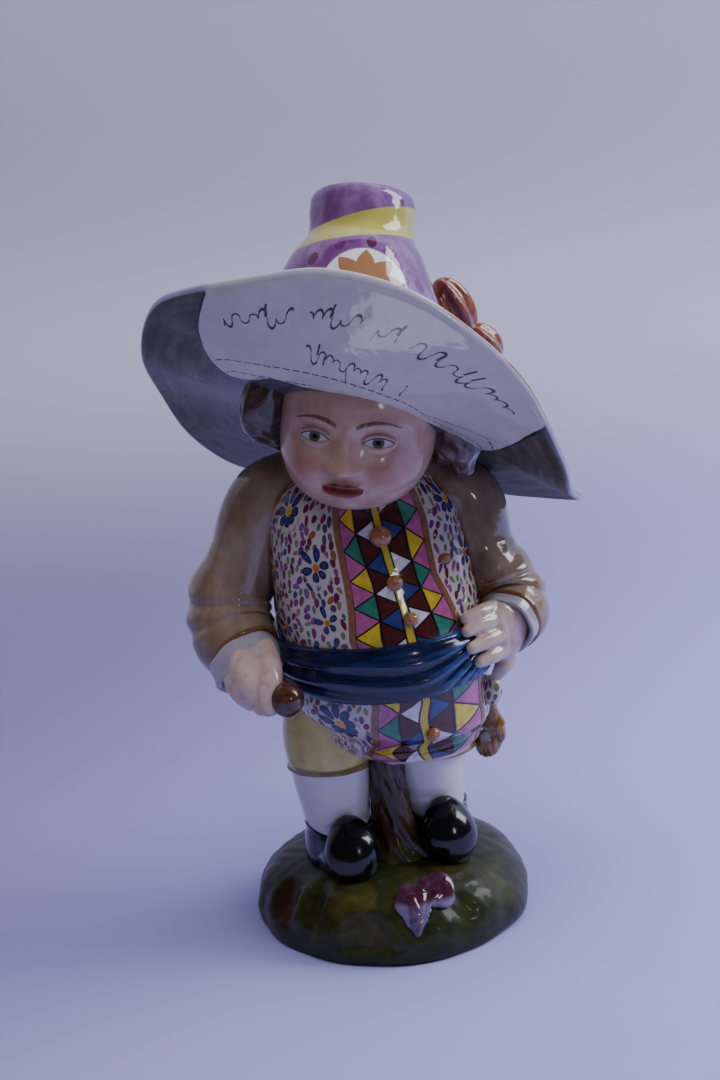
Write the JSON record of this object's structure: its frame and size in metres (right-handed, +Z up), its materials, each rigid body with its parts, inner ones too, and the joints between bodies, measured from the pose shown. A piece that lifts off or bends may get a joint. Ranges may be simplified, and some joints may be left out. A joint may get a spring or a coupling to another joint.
{
  "type": "porcelain dwarf figure",
  "caption": "Glazed and hand-painted porcelain figure of a stout dwarf in a wide cocked hat, standing on a low rocky mound cast in one with it.",
  "frame": {"origin": "centre of the mound's flat underside, on the surface that the figure stands on", "axes": "+Z up; the figure looks along -Y, with its right-hand side at -X"},
  "size_m": [0.0977, 0.0784, 0.1744],
  "materials": {
    "glazed_porcelain": "clear glossy glaze over white porcelain, with painted colours"
  },
  "bodies": {
    "root": {"porcelain_figure": "glazed_porcelain"}
  },
  "joints": []
}
